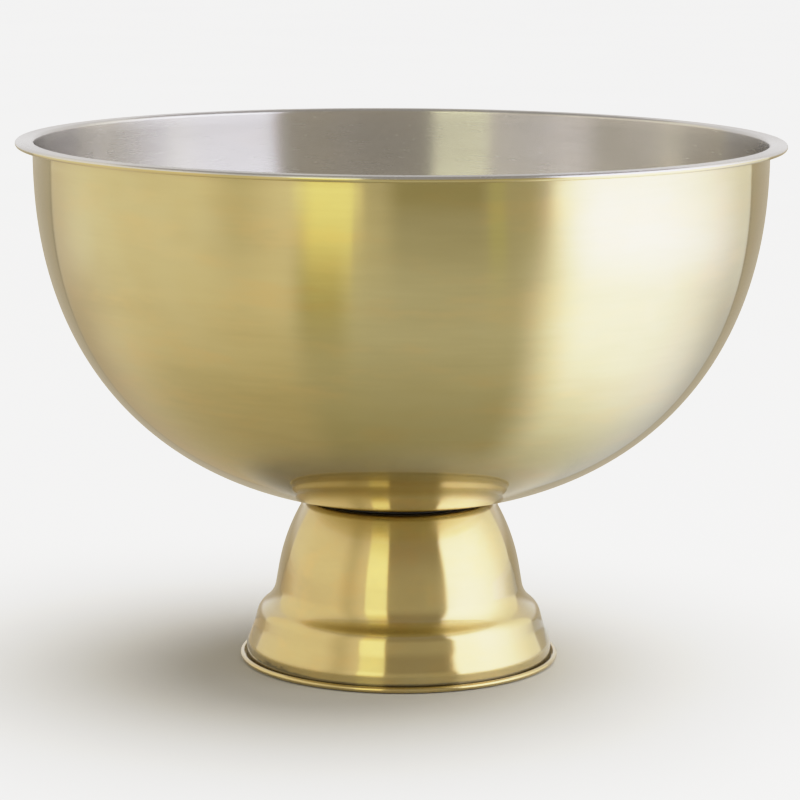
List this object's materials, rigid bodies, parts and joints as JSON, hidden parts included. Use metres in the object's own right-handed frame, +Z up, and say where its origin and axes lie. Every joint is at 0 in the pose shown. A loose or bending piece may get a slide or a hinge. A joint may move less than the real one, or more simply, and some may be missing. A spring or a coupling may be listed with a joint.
{
  "type": "footed champagne bowl",
  "caption": "Wide spun-metal ice bowl for champagne bottles, with a flat rolled lip, bolted on a stepped, bell-shaped foot.",
  "frame": {"origin": "centre of the circle that the foot stands on", "axes": "+Z up along the axis of bowl and foot; X and Y across the bowl, which is round, so they have no front"},
  "size_m": [0.4, 0.4, 0.2755],
  "materials": {
    "brushed_brass": "brass colour on stainless sheet, brushed round the axis; bare brushed steel inside the bowl and on top of its lip",
    "black_rubber": "matt black",
    "plain_steel": "plain stainless, lightly turned",
    "zinc_plate": "dull bright zinc"
  },
  "bodies": {
    "root": {"bowl": "brushed_brass", "foot": "brushed_brass", "gasket": "black_rubber", "weld_stud": "plain_steel", "backing_plate": "plain_steel", "flat_washer": "zinc_plate", "spring_washer": "zinc_plate", "hex_nut": "zinc_plate"}
  },
  "joints": []
}
